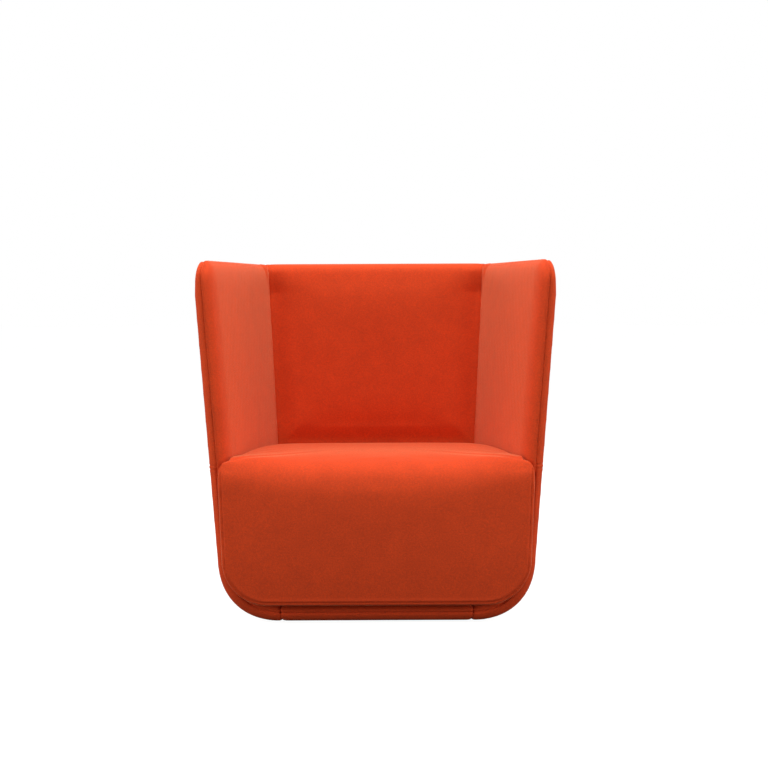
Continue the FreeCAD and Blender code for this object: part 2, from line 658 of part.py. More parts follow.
def seat_straps():
    """Elastic webbing over the seat box: long straps front to rear, cross straps above them."""
    tub = seat_box_block(0)
    front_y = SEAT_FRONT_Y + SEAT_FRONT_CROWN + COVER + BOX_FRONT_FOAM
    rear_y = pad_y(SEAT_REAR_TOP_Z)
    long_depth = SEAT_FOAM - STRAP_THICKNESS
    long_layer = tub.common(slanted_slab(long_depth, STRAP_THICKNESS))
    cross_layer = tub.common(slanted_slab(long_depth - STRAP_THICKNESS, STRAP_THICKNESS))
    rear_half = side_x(rear_y, SEAT_REAR_TOP_Z, SIDE_WALL + SEAT_GAP + COVER + BOX_SIDE_FOAM)
    pitch = (2 * rear_half - BOX_WALL) / LONG_STRAPS
    long_boxes = []
    for i in range(LONG_STRAPS):
        x = (i - (LONG_STRAPS - 1) / 2) * pitch
        long_boxes.append(box_between(Vector(x - SEAT_STRAP_WIDTH / 2, front_y, 0),
                                      Vector(x + SEAT_STRAP_WIDTH / 2, rear_y, SEAT_TOP_Z)))
    cross_boxes = []
    step = (rear_y - front_y) / (CROSS_STRAPS + 1)
    for i in range(CROSS_STRAPS):
        y = front_y + step * (i + 1)
        cross_boxes.append(box_between(Vector(-HUGE / 2, y - SEAT_STRAP_WIDTH / 2, 0),
                                       Vector(HUGE / 2, y + SEAT_STRAP_WIDTH / 2, SEAT_TOP_Z)))
    long_straps = Part.makeCompound([long_layer.common(b) for b in long_boxes])
    cross_straps = Part.makeCompound([cross_layer.common(b) for b in cross_boxes])
    return long_straps, cross_straps


def insulator():
    """Felt sheet between the webbing and the seat foam."""
    return seat_box_block(0).common(slanted_slab(SEAT_FOAM - 2 * STRAP_THICKNESS - INSULATOR, INSULATOR))


def seat_foam(core):
    """Foam over, before, beside and behind the seat box, inside the cover."""
    top = under_seat_plane(SEAT_FOAM - 2 * STRAP_THICKNESS - INSULATOR)
    return core.cut(seat_box_block(0).common(top))


def seat_cover_parts(skin):
    """One panel over the front and the top, a strip round the front's edge, two sides, a rear and a cloth below."""
    front_zone = lap_outline(BOXING_SEAM, SEAT_FRONT_Y - 1)
    front_zone = front_zone.common(half_space(Vector(0, SHELL_FRONT_Y - BOXING_DEPTH, 0), Vector(0, -1, 0)))
    off_panel = under_seat_plane(TOP_SEAM_DROP).cut(front_zone)
    panel = skin.cut(off_panel)
    rest = skin.common(off_panel)
    front_of_shell = half_space(Vector(0, SHELL_FRONT_Y, 0), Vector(0, -1, 0))
    strip = rest.common(front_of_shell)
    rest = rest.cut(front_of_shell)
    cloth = rest.common(below(BOX_LOW_Z))
    rest = rest.cut(below(BOX_LOW_Z))
    rear_zone = half_space(Vector(0, pad_y(BOX_LOW_Z, -SEAT_GAP - COVER), BOX_LOW_Z), Vector(0, 1, -PAD_RAKE))
    rear = rest.common(rear_zone)
    sides = rest.cut(rear_zone)
    right_zone = half_space(Vector(0, 0, 0), Vector(1, 0, 0))
    return {"seat_cover_panel": panel, "seat_cover_strip": strip, "seat_cover_rear": rear,
            "seat_cover_left": sides.cut(right_zone), "seat_cover_right": sides.common(right_zone),
            "seat_bottom_cloth": cloth}


def shell_cover_parts(skin):
    """Outer and inner cover pieces, which meet in the ridge seam along the middle of the rim."""
    middle = outer_layer(SIDE_WALL / 2, DIVIDER_CORNER_CUT)
    zones = split_zones(skin)
    upper = above(SEAM_Z)
    parts = {}
    for side in ("left", "right", "back"):
        outer = zones[side].cut(middle)
        parts["outer_cover_" + side + "_upper"] = outer.common(upper)
        parts["outer_cover_" + side + "_lower"] = outer.cut(upper)
        parts["inner_cover_" + side] = zones[side].common(middle)
    band_zone = half_space(Vector(0, SHELL_FRONT_Y + FRONT_BAND, 0), Vector(0, -1, 0))
    parts["front_band_cover"] = zones["base"].common(band_zone)
    rest = zones["base"].cut(band_zone)
    parts["deck_cover"] = rest.common(middle)
    parts["underside_cover"] = rest.cut(middle).cut(underside_outline(UNDERSIDE_MARGIN, UNDERSIDE_Z - 1, BOARD_LOW_Z + 1))
    return parts


def underside_outline(margin, z_low, z_high):
    """A flat block over the underside's flat, margin inside its edges."""
    front = SHELL_FRONT_Y + RIM_RADIUS + margin
    rear = BACK_FOOT_Y - REAR_RADIUS - margin
    corners = [Vector(-bottom_flat_x(front) + margin, front, z_low), Vector(bottom_flat_x(front) - margin, front, z_low),
               Vector(bottom_flat_x(rear) - margin, rear, z_low), Vector(-bottom_flat_x(rear) + margin, rear, z_low)]
    return Part.Face(Part.makePolygon(corners + corners[:1])).extrude(Vector(0, 0, z_high - z_low))


def dust_cover():
    """Thin cloth that closes the underside, with a hole round each glide."""
    cloth = underside_outline(DUST_MARGIN, UNDERSIDE_Z - DUST_COVER, UNDERSIDE_Z)
    for x, y in GLIDE_PLACES:
        cloth = cloth.cut(cylinder(x, y, 0, UNDERSIDE_Z + 1, GLIDE_RADIUS + GLIDE_HOLE_GAP))
    return cloth


def glide(x, y):
    """Plastic glide with a chamfered edge and a recess for its screw."""
    body = cylinder(x, y, 0, BOARD_LOW_Z, GLIDE_RADIUS)
    rim = [e for e in body.Edges if e.BoundBox.ZMax < 0.01]
    body = body.makeChamfer(GLIDE_EDGE, rim)
    recess = rod(x, y, -1, GLIDE_RECESS, GLIDE_SCREW_HEAD_RADIUS + HOLE_GAP)
    bore = rod(x, y, 0, BOARD_LOW_Z + 1, GLIDE_SCREW_RADIUS + HOLE_GAP)
    return body.cut(recess).cut(bore)


def glide_screws():
    screws = []
    for x, y in GLIDE_PLACES:
        head = rod(x, y, GLIDE_RECESS - GLIDE_SCREW_HEAD, GLIDE_RECESS, GLIDE_SCREW_HEAD_RADIUS)
        shank = rod(x, y, GLIDE_RECESS, BOARD_TOP_Z - 1, GLIDE_SCREW_RADIUS)
        screws.append(head.fuse(shank).removeSplitter())
    return screws


def seat_fasteners():
    """Bolts up through the base board and its spacers into T-nuts in the seat box's floor."""
    bolts = []
    spacers = []
    nuts = []
    for x, y in BOLT_PLACES:
        head = rod(x, y, BOARD_LOW_Z, BOARD_LOW_Z + BOLT_HEAD, BOLT_HEAD_RADIUS)
        shank = rod(x, y, BOARD_LOW_Z, BOX_FLOOR_TOP_Z + T_NUT_FLANGE, BOLT_RADIUS)
        bolts.append(head.fuse(shank).removeSplitter())
        tube = rod(x, y, BOARD_TOP_Z, BOX_LOW_Z, SPACER_RADIUS)
        spacers.append(tube.cut(rod(x, y, BOARD_TOP_Z - 1, BOX_LOW_Z + 1, BOLT_RADIUS + HOLE_GAP)))
        flange = rod(x, y, BOX_FLOOR_TOP_Z, BOX_FLOOR_TOP_Z + T_NUT_FLANGE, T_NUT_RADIUS)
        nuts.append(flange.cut(rod(x, y, BOX_LOW_Z, BOX_FLOOR_TOP_Z + T_NUT_FLANGE + 1, BOLT_RADIUS + HOLE_GAP)))
    return bolts, spacers, nuts


def build():
    parts = {}
    outer = shell_body(0)
    core = shell_core()
    spacer_holes = [rod(x, y, 0, BOX_LOW_Z + 1, SPACER_RADIUS + HOLE_GAP) for x, y in BOLT_PLACES]
    glide_holes = [cylinder(x, y, 0, BOARD_LOW_Z, GLIDE_RADIUS + GLIDE_HOLE_GAP) for x, y in GLIDE_PLACES]

    layer = frame_layer()
    right_panel = side_panel(layer)
    right_post = corner_post()
    rear_panel = back_panel(layer)
    right_rib = rib(rear_panel).cut(right_panel)
    board = base_board()
    screws = frame_screws()
    glide_screw_list = glide_screws()
    screw_body = Part.makeCompound([screws] + glide_screw_list)
    parts["base_board"] = board.cut(screw_body)
    parts["side_panel_right"] = right_panel.cut(screws)
    parts["side_panel_left"] = mirrored(right_panel).cut(screws)
    parts["corner_post_right"] = right_post
    parts["corner_post_left"] = mirrored(right_post)
    parts["back_panel"] = rear_panel.cut(screws)
    parts["rear_rib_right"] = right_rib.cut(screws)
    parts["rear_rib_left"] = mirrored(right_rib).cut(screws)
    straps = back_straps()
    parts["back_webbing"] = straps
    parts["frame_screws"] = screws

    wood = [board, right_panel, mirrored(right_panel), right_post, mirrored(right_post), rear_panel,
            right_rib, mirrored(right_rib)]
    foam = core.cut(wood + [straps] + spacer_holes)
    middle = outer_layer(COVER + OUTER_FOAM + PANEL / 2)
    zones = split_zones(foam)
    for side in ("right", "back"):
        parts["inner_foam_" + side] = zones[side].common(middle)
        parts["outer_foam_" + side] = zones[side].cut(middle)
    parts["inner_foam_left"] = mirrored(parts["inner_foam_right"])
    parts["outer_foam_left"] = mirrored(parts["outer_foam_right"])
    parts["base_foam"] = zones["base"]

    cover = outer.cut(core).cut(spacer_holes + glide_holes)
    parts.update(shell_cover_parts(cover))

    seat = seat_body()
    core_of_seat = seat_core()
    parts.update(seat_box_parts())
    long_straps, cross_straps = seat_straps()
    parts["seat_webbing_long"] = long_straps
    parts["seat_webbing_cross"] = cross_straps
    parts["seat_insulator"] = insulator()
    parts["seat_foam"] = seat_foam(core_of_seat)
    seat_skin = seat.cut(core_of_seat).cut(spacer_holes)
    parts.update(seat_cover_parts(seat_skin))
    bolts, spacers, nuts = seat_fasteners()
    parts["seat_bolts"] = Part.makeCompound(bolts)
    parts["seat_spacers"] = Part.makeCompound(spacers)
    parts["seat_tee_nuts"] = Part.makeCompound(nuts)

    parts["glides"] = Part.makeCompound([glide(x, y) for x, y in GLIDE_PLACES])
    parts["glide_screws"] = Part.makeCompound(glide_screw_list)
    parts["dust_cover"] = dust_cover()
    return parts


def export(parts):
    os.makedirs("parts", exist_ok=True)
    for name, shape in parts.items():
        shape.exportStep(os.path.join("parts", name + ".step"))
        volume = sum(s.Volume for s in shape.Solids)
        print(f"{name:26s} solids {len(shape.Solids)}  valid {shape.isValid()}  {volume / 1000:.1f} cm3")


export(build())
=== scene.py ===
import json
import math

import bmesh
import bpy
import numpy as np
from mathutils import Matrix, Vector


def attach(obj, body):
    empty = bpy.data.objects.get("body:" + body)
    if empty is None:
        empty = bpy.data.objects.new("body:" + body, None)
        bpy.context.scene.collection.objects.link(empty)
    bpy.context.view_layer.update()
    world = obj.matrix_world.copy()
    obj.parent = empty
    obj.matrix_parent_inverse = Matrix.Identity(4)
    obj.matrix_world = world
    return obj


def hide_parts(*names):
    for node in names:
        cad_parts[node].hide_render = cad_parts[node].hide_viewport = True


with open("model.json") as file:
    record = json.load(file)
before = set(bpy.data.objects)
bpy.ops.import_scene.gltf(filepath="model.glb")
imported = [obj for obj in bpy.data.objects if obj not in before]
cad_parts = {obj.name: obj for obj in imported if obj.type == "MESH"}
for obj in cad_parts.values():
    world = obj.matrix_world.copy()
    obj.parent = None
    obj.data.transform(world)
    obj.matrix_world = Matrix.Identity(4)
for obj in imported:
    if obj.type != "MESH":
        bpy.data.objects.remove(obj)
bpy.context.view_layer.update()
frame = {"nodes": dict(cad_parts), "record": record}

# Shell sizes, in metres, as in the CAD model.
HEIGHT = 0.885
UNDERSIDE_Z = 0.006
SHELL_FRONT_Y = -0.310
SIDE_FOOT_X = 0.379
LEAN = math.tan(math.radians(4.7))
FLARE = math.tan(math.radians(9.75))
BACK_FOOT_Y = 0.248
BACK_RAKE = math.tan(math.radians(6.0))
PAD_FOOT_Y = 0.1625
PAD_RAKE = math.tan(math.radians(7.5))
SIDE_WALL = 0.046
PAD_Z = 0.051
BOTTOM_RADIUS = 0.160
REAR_RADIUS = 0.100
RIDGE_DEPTH = SIDE_WALL / 2
CROSS_SEAM_Z = 0.376
CROSS_SEAM_GAP = 0.010

# Seat sizes.
SEAT_TOP_Z = 0.401
SEAT_FRONT_Y = -0.340
LAP_HALF_TOP = 0.384
LAP_HALF_FOOT = 0.367
LAP_BOTTOM_RADIUS = 0.110
SEAT_LOW_Z = PAD_Z + 0.0005
BOXING_SEAM = 0.007
BOXING_DEPTH = 0.012
TOP_SEAM_DROP = 0.036
LAP_TOP_Z = SEAT_TOP_Z + 0.004
SEAT_PLANE_Z = SEAT_TOP_Z - 0.004  # the seat's top plane, where its front roll starts
SEAT_ROLL = 0.054  # how far back from the front that is
SEAT_SLOPE = 0.026

SIDE_SCALE = math.sqrt(1 + LEAN ** 2 + FLARE ** 2)
BACK_SCALE = math.sqrt(1 + BACK_RAKE ** 2)
PAD_SCALE = math.sqrt(1 + PAD_RAKE ** 2)

# Mesh and simulation.
VOXEL = 0.005
FRAMES = 20
PRESSURE = 4.0
SEAM_STEP = 0.0026  # mesh step beside a seam
SEAM_REACH = 0.004  # how far from a seam that finer mesh goes, beyond one step
NEAR = 0.004  # how close to a surface still counts as on it
TINY = 1e-9  # keeps a division from dividing by nothing
NOT_ZERO = 1e-6  # the same, for lengths in metres
PUCKER = 0.25  # how much a seam's depth varies along it
PUCKER_LENGTH = 0.0061


# Depths below the CAD surfaces, for arrays of points.

def rounded_depth(a, b, cosine, radius):
    """Depth below two planes whose shared edge is rounded; a and b are the depths below each plane."""
    u = radius - a
    v = radius - b
    reach = np.sqrt(np.maximum(u * u + v * v - 2 * u * v * cosine, 0) / (1 - cosine * cosine))
    in_corner = (u - cosine * v > 0) & (v - cosine * u > 0)
    return np.where(in_corner, radius - reach, np.minimum(a, b))


def side_depth(p):
    half = SIDE_FOOT_X + LEAN * (p[:, 2] - UNDERSIDE_Z) - FLARE * (p[:, 1] - SHELL_FRONT_Y)
    return (half - np.abs(p[:, 0])) / SIDE_SCALE


def back_depth(p):
    return (BACK_FOOT_Y + BACK_RAKE * (p[:, 2] - UNDERSIDE_Z) - p[:, 1]) / BACK_SCALE


def pad_height(p):
    """How far points stand in front of the face that the sitter leans on."""
    return (PAD_FOOT_Y + PAD_RAKE * (p[:, 2] - UNDERSIDE_Z) - p[:, 1]) / PAD_SCALE


def outer_depth(p):
    """Depth below the shell's outer surface."""
    side = side_depth(p)
    back = back_depth(p)
    low = p[:, 2] - UNDERSIDE_Z
    foot = rounded_depth(side, low, LEAN / SIDE_SCALE, BOTTOM_RADIUS)
    corner = rounded_depth(side, back, (FLARE + LEAN * BACK_RAKE) / SIDE_SCALE / BACK_SCALE, REAR_RADIUS)
    heel = rounded_depth(back, low, BACK_RAKE / BACK_SCALE, REAR_RADIUS)
    return np.minimum(np.minimum(foot, corner), heel)


def lap_depth(p):
    """Depth inside the outline of the seat's wide front, seen from the front."""
    slope = (LAP_HALF_TOP - LAP_HALF_FOOT) / (LAP_TOP_Z - SEAT_LOW_Z)
    scale = math.sqrt(1 + slope ** 2)
    side = (LAP_HALF_FOOT + slope * (p[:, 2] - SEAT_LOW_Z) - np.abs(p[:, 0])) / scale
    return rounded_depth(side, p[:, 2] - SEAT_LOW_Z, slope / scale, LAP_BOTTOM_RADIUS)


# Meshes.

def points_of(mesh):
    p = np.zeros(len(mesh.vertices) * 3)
    mesh.vertices.foreach_get("co", p)
    return p.reshape(-1, 3)


def normals_of(mesh):
    n = np.zeros(len(mesh.vertices) * 3)
    mesh.vertex_normals.foreach_get("vector", n)
    return n.reshape(-1, 3)


def set_points(mesh, p):
    mesh.vertices.foreach_set("co", p.ravel())
    mesh.update()


def new_object(name, mesh):
    obj = bpy.data.objects.new(name, mesh)
    bpy.context.scene.collection.objects.link(obj)
    return obj


def evaluated_mesh(obj):
    dg = bpy.context.evaluated_depsgraph_get()
    return bpy.data.meshes.new_from_object(obj.evaluated_get(dg))


def drop_islands(mesh):
    """Keeps the largest connected part of a mesh: what is left of inner walls goes."""
    bm = bmesh.new()
    bm.from_mesh(mesh)
    bm.verts.ensure_lookup_table()
    seen = np.zeros(len(bm.verts), bool)
    islands = []
    for start in bm.verts:
        if seen[start.index]:
            continue
        seen[start.index] = True
        stack = [start]
        island = []
        while stack:
            v = stack.pop()
            island.append(v)
            for e in v.link_edges:
                w = e.other_vert(v)
                if not seen[w.index]:
                    seen[w.index] = True
                    stack.append(w)
        islands.append(island)
    islands.sort(key=len)
    for island in islands[:-1]:
        bmesh.ops.delete(bm, geom=island, context="VERTS")
    bm.to_mesh(mesh)
    bm.free()


def skin_over(name, nodes):
    """One closed, evenly meshed skin over several CAD nodes."""
    bm = bmesh.new()
    for n in nodes:
        bm.from_mesh(frame["nodes"][n].data)
    mesh = bpy.data.meshes.new(name)
    bm.to_mesh(mesh)
    bm.free()
    obj = new_object(name, mesh)
    remesh = obj.modifiers.new("Remesh", "REMESH")
    remesh.mode = "VOXEL"
    remesh.voxel_size = VOXEL
    smooth = obj.modifiers.new("Smooth", "CORRECTIVE_SMOOTH")
    smooth.iterations = 4
    smooth.use_only_smooth = True
    made = evaluated_mesh(obj)
    obj.modifiers.clear()
    obj.data = made
    made.materials.clear()
    drop_islands(made)
    return obj


def inflate(obj, held, cap):
    """Swells a skin by pressure from inside. held is 1 where it can't move; cap is the furthest move."""
    mesh = obj.data
    before = points_of(mesh)
    group = obj.vertex_groups.new(name="held")
    for i in np.nonzero(held > 0.5)[0]:
        group.add([int(i)], 1.0, "REPLACE")
    cloth = obj.modifiers.new("Cloth", "CLOTH")
    cloth.settings.quality = 4
    cloth.settings.mass = 0.3
    cloth.settings.use_pressure = True
    cloth.settings.uniform_pressure_force = PRESSURE
    cloth.settings.effector_weights.gravity = 0
    cloth.settings.vertex_group_mass = "held"
    cloth.settings.tension_stiffness = 25
    cloth.settings.compression_stiffness = 25
    cloth.settings.bending_stiffness = 2
    cloth.collision_settings.use_collision = False
    cloth.point_cache.frame_start = 1
    cloth.point_cache.frame_end = FRAMES
    for f in range(1, FRAMES + 1):
        bpy.context.scene.frame_set(f)
    swollen = evaluated_mesh(obj)
    move = points_of(swollen) - before
    obj.modifiers.clear()
    obj.vertex_groups.clear()
    bpy.context.scene.frame_set(1)
    length = np.linalg.norm(move, axis=1)
    top = np.percentile(length, 98)
    if top > 0:
        move *= (cap * np.tanh(length / top) / np.maximum(length, TINY))[:, None]
    set_points(mesh, before + move)


def refine(obj, seams):
    """Halves the mesh step beside the seams until it is fine enough to shape them."""
    step = VOXEL
    while step > SEAM_STEP:
        reach = SEAM_REACH + step
        bm = bmesh.new()
        bm.from_mesh(obj.data)
        p = points_of(obj.data)
        near = np.zeros(len(p), bool)
        for seam in seams:
            near |= seam["away"](p) < reach
        bm.verts.ensure_lookup_table()
        edges = [e for e in bm.edges if near[e.verts[0].index] and near[e.verts[1].index]]
        bmesh.ops.subdivide_edges(bm, edges=edges, cuts=1, use_grid_fill=True, smooth=0)
        bm.to_mesh(obj.data)
        bm.free()
        step /= 2


def sew(obj, seams):
    """Presses the seams into a skin, with the fabric standing up in a soft lip at both sides."""
    refine(obj, seams)
    mesh = obj.data
    p = points_of(mesh)
    n = normals_of(mesh)
    move = np.zeros(len(p))
    for seam in seams:
        d = seam["away"](p)
        wobble = 1 + PUCKER * np.sin(p.sum(axis=1) / PUCKER_LENGTH) * np.sin(p[:, 0] / 0.017 + p[:, 2] / 0.023)
        move -= seam["depth"] * wobble * np.exp(-(d / seam["width"]) ** 2)
        move += seam["lip"] * np.exp(-((d - 3 * seam["width"]) / (2.2 * seam["width"])) ** 2)
    set_points(mesh, p + n * move[:, None])


def seam(away, depth=0.0030, width=0.0017, lip=0.0009):
    return {"away": away, "depth": depth, "width": width, "lip": lip}


def ridge_seam(p):
    return np.abs(outer_depth(p) - RIDGE_DEPTH)


def cross_seam(height):
    def away(p):
        return np.where(outer_depth(p) < RIDGE_DEPTH, np.abs(p[:, 2] - height), 1.0)
    return away


def seat_top_depth(p):
    """Depth below the plane that runs parallel to the seat's top."""
    return SEAT_PLANE_Z - SEAT_SLOPE * (p[:, 1] - SEAT_FRONT_Y - SEAT_ROLL) - p[:, 2]


def boxing_front_seam(p):
    on = (p[:, 1] < SHELL_FRONT_Y - BOXING_DEPTH - 0.002) & (seat_top_depth(p) > 0.006)
    return np.where(on, np.abs(lap_depth(p) - BOXING_SEAM), 1.0)


def boxing_rear_seam(p):
    on = (lap_depth(p) < NEAR) & (seat_top_depth(p) > TOP_SEAM_DROP)
    return np.where(on, np.abs(p[:, 1] - SHELL_FRONT_Y + BOXING_DEPTH), 1.0)


def seat_side_seam(p):
    on = (side_depth(p) < SIDE_WALL + 0.01) & (p[:, 1] > SHELL_FRONT_Y)
    return np.where(on, np.abs(seat_top_depth(p) - TOP_SEAM_DROP), 1.0)


# Materials.

class Shader:
    """A material's node tree, built one node at a time."""

    def __init__(self, name):
        self.material = bpy.data.materials.new(name)
        self.material.use_nodes = True
        self.tree = self.material.node_tree
        self.principled = self.tree.nodes["Principled BSDF"]
        coords = self.tree.nodes.new("ShaderNodeTexCoord")
        self.place = coords.outputs["Object"]

    def node(self, kind, **values):
        made = self.tree.nodes.new("ShaderNode" + kind)
        for key, value in values.items():
            if hasattr(made, key):
                setattr(made, key, value)
            else:
                made.inputs[key].default_value = value
        return made

    def join(self, output, target):
        self.tree.links.new(output, target)

    def noise(self, scale, detail=2.0, stretch=None):
        texture = self.node("TexNoise", Scale=scale, Detail=detail)
        source = self.place
        if stretch:
            mapping = self.node("Mapping")
            mapping.inputs["Scale"].default_value = stretch
            self.join(source, mapping.inputs["Vector"])
            source = mapping.outputs["Vector"]
        self.join(source, texture.inputs["Vector"])
        return texture.outputs["Fac"]

    def ramp(self, fac, stops):
        ramp = self.node("ValToRGB")
        elements = ramp.color_ramp.elements
        while len(elements) < len(stops):
            elements.new(0.5)
        for element, (place, colour) in zip(elements, stops):
            element.position = place
            element.color = (*colour, 1)
        self.join(fac, ramp.inputs["Fac"])
        return ramp.outputs["Color"]

    def mix(self, a, b, amount, blend="MULTIPLY"):
        mix = self.node("Mix", data_type="RGBA", blend_type=blend)
        mix.inputs[0].default_value = amount
        self.join(a, mix.inputs[6])
        self.join(b, mix.inputs[7])
        return mix.outputs[2]

    def bump(self, height, distance, strength, under=None):
        bump = self.node("Bump", Distance=distance, Strength=strength)
        self.join(height, bump.inputs["Height"])
        if under:
            self.join(under, bump.inputs["Normal"])
        return bump.outputs["Normal"]


def linear(r, g, b):
    def one(c):
        c /= 255
        return c / 12.92 if c <= 0.04045 else ((c + 0.055) / 1.055) ** 2.4
    return tuple(one(c) for c in (r, g, b))


def shade(colour, factor):
    return tuple(min(c * factor, 1.0) for c in colour)


def wool(name, colour):
    """Felted wool: short matted fibres, faint clouds of colour and a soft nap."""
    s = Shader(name)
    tones = [(0.30, shade(colour, 0.80)), (0.50, colour), (0.72, shade(colour, 1.20))]
    fibres = s.ramp(s.noise(900, 3), tones)
    clumps = s.ramp(s.noise(230, 3), [(0.32, (0.88,) * 3), (0.55, (1.0,) * 3), (0.75, (1.09,) * 3)])
    clouds = s.ramp(s.noise(22, 2), [(0.3, (0.95,) * 3), (0.7, (1.03,) * 3)])
    tone = s.mix(s.mix(fibres, clumps, 1.0), clouds, 1.0)
    s.join(tone, s.principled.inputs["Base Color"])
    rough = s.ramp(s.noise(230, 3), [(0.3, (0.86,) * 3), (0.7, (0.97,) * 3)])
    s.join(rough, s.principled.inputs["Roughness"])
    fine = s.bump(s.noise(1100, 3), 0.0006, 0.35)
    s.join(s.bump(s.noise(230, 3), 0.0008, 0.30, fine), s.principled.inputs["Normal"])
    s.principled.inputs["Specular IOR Level"].default_value = 0.30
    s.principled.inputs["Sheen Weight"].default_value = 0.50
    s.principled.inputs["Sheen Roughness"].default_value = 0.26
    s.principled.inputs["Sheen Tint"].default_value = (1.0, 0.66, 0.34, 1)
    return s.material


def lining(name, colour):
    """Black spun-bonded cloth, with flat crossing fibres."""
    s = Shader(name)
    tone = s.ramp(s.noise(1500, 2, (1, 0.2, 1)), [(0.35, shade(colour, 0.6)), (0.7, shade(colour, 1.7))])
    s.join(tone, s.principled.inputs["Base Color"])
    s.principled.inputs["Roughness"].default_value = 0.85
    s.join(s.bump(s.noise(900, 2, (0.3, 1, 1)), 0.0003, 0.4), s.principled.inputs["Normal"])
    return s.material


def wood(name, colour, grain):
    """Planed wood or veneer: long grain with fine pores."""
    s = Shader(name)
    tones = [(0.35, shade(colour, 0.72)), (0.65, shade(colour, 1.12))]
    rings = s.ramp(s.noise(grain, 4, (1, 1, 0.08)), tones)
    pores = s.ramp(s.noise(grain * 9, 2, (1, 1, 0.05)), [(0.38, (0.72,) * 3), (0.5, (1.0,) * 3)])
    s.join(s.mix(rings, pores, 1.0), s.principled.inputs["Base Color"])
    s.principled.inputs["Roughness"].default_value = 0.55
    s.join(s.bump(s.noise(grain * 9, 2, (1, 1, 0.05)), 0.0003, 0.3), s.principled.inputs["Normal"])
    return s.material


def metal(name, colour):
    """Zinc plating with faint turning marks and duller patches."""
    s = Shader(name)
    tone = s.ramp(s.noise(300, 3), [(0.3, shade(colour, 0.85)), (0.7, shade(colour, 1.1))])
    s.join(tone, s.principled.inputs["Base Color"])
    s.principled.inputs["Metallic"].default_value = 1.0
    rough = s.ramp(s.noise(500, 3), [(0.3, (0.28,) * 3), (0.7, (0.45,) * 3)])
    s.join(rough, s.principled.inputs["Roughness"])
    s.join(s.bump(s.noise(2500, 2, (1, 1, 8)), 0.0001, 0.3), s.principled.inputs["Normal"])
    return s.material


def plastic(name, colour):
    """Moulded plastic with a fine spark-eroded grain, a little scuffed."""
    s = Shader(name)
    tone = s.ramp(s.noise(120, 4), [(0.35, shade(colour, 0.85)), (0.75, shade(colour, 1.5))])
    s.join(tone, s.principled.inputs["Base Color"])
    s.join(s.ramp(s.noise(200, 4), [(0.3, (0.42,) * 3), (0.7, (0.6,) * 3)]), s.principled.inputs["Roughness"])
    s.join(s.bump(s.noise(2200, 2), 0.0002, 0.35), s.principled.inputs["Normal"])
    return s.material


WOOL_COLOUR = linear(206, 64, 18)
MATERIALS = {
    "wool": wool("wool_orange_red", WOOL_COLOUR),
    "lining": lining("lining_black", (0.03, 0.03, 0.032)),
    "webbing": lining("webbing_black", (0.08, 0.08, 0.085)),
    "foam": wool("foam_cream", (0.80, 0.74, 0.58)),
    "felt": wool("felt_grey", (0.30, 0.28, 0.26)),
    "glide_plastic": plastic("glide_plastic_black", (0.03, 0.03, 0.032)),
    "zinc_steel": metal("zinc_plate", (0.60, 0.60, 0.62)),
    "hardwood": wood("beech", (0.50, 0.32, 0.17), 60),
    "plywood": wood("birch_plywood", (0.56, 0.38, 0.21), 45),
}
for part in frame["record"]["subparts"]:
    mesh = frame["nodes"][part["node"]].data
    mesh.materials.clear()
    mesh.materials.append(MATERIALS[part["material_slot"]])


def finish_piece(obj, slot, nodes):
    obj.data.materials.append(MATERIALS[slot])
    obj.data.polygons.foreach_set("use_smooth", [True] * len(obj.data.polygons))
    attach(obj, "root")
    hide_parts(*nodes)


# The shell: four padded walls.

CROSS_SIZES = (0.0012, 0.0014, 0.0005)  # depth, width and lip
WING_SEAMS = [seam(ridge_seam, 0.0030, 0.0022, 0.0010),
              seam(cross_seam(CROSS_SEAM_Z), *CROSS_SIZES),
              seam(cross_seam(CROSS_SEAM_Z + CROSS_SEAM_GAP), *CROSS_SIZES)]

WING_CROWN = 0.003
WING_END_Y = PAD_FOOT_Y + 0.1
CROWN_BLEND = 0.006
RIM_REACH = 0.065  # depth of the soft curve along the free edges
RIM_DROP = 0.013
RIM_BLEND = 0.018
PAD_FRONT = 0.02  # points less than this in front of the back pad belong to the back
TOP_TURN_Z = 0.79  # the wings' outline turns inwards above this
TOP_TURN = 0.010
TOP_ROUND = 0.036
TOP_TURN_POWER = 1.3
TURN_END_Y = 0.10  # the turn and the filled foot fade out towards here
ROUND_FADE = (0.0, 0.2)  # the top's rounding comes in between these, in front of the chair's middle
OUTLINE_BLEND = 0.03
FOOT_FILL = 0.008
PAD_EDGE_DROP = 0.016  # how far the back pad's sides are drawn in beside the wings
PAD_EDGE_REACH = 0.045
PAD_FOOT_DROP = 0.012  # and its foot behind the seat
PAD_FOOT_REACH = 0.035
PAD_FOOT_LIFT = 0.012
PAD_BACK = 0.030  # the shaping reaches this far behind the pad's face
PAD_BLEND = 0.025
PAD_TOP_STOP = 0.02  # the pad isn't shaped this near the top
PAD_TOP_FADE = 0.06  # and is fully shaped this much lower
SIDE_PRESS = 0.003  # how far the back and base press into the wings
BACK_SWELL = 0.006
BACK_HELD_FACE = 0.002
BACK_HELD_SIDE = 0.012


def smooth_step(value, low, high):
    t = np.clip((value - low) / (high - low), 0, 1)
    return t * t * (3 - 2 * t)


def crown(obj):
    """Swells a wing's inner face a little, most in its middle."""
    p = points_of(obj.data)
    inner = np.clip((outer_depth(p) - SIDE_WALL + CROWN_BLEND) / CROWN_BLEND, 0, 1)
    up = np.clip((p[:, 2] - SEAT_TOP_Z) / (HEIGHT - SEAT_TOP_Z), 0, 1)
    along = np.clip((p[:, 1] - SHELL_FRONT_Y) / (WING_END_Y - SHELL_FRONT_Y), 0, 1)
    swell = WING_CROWN * inner * np.sqrt(np.sin(math.pi * up) * np.sin(math.pi * along))
    p[:, 0] -= np.sign(p[:, 0]) * swell
    set_points(obj.data, p)


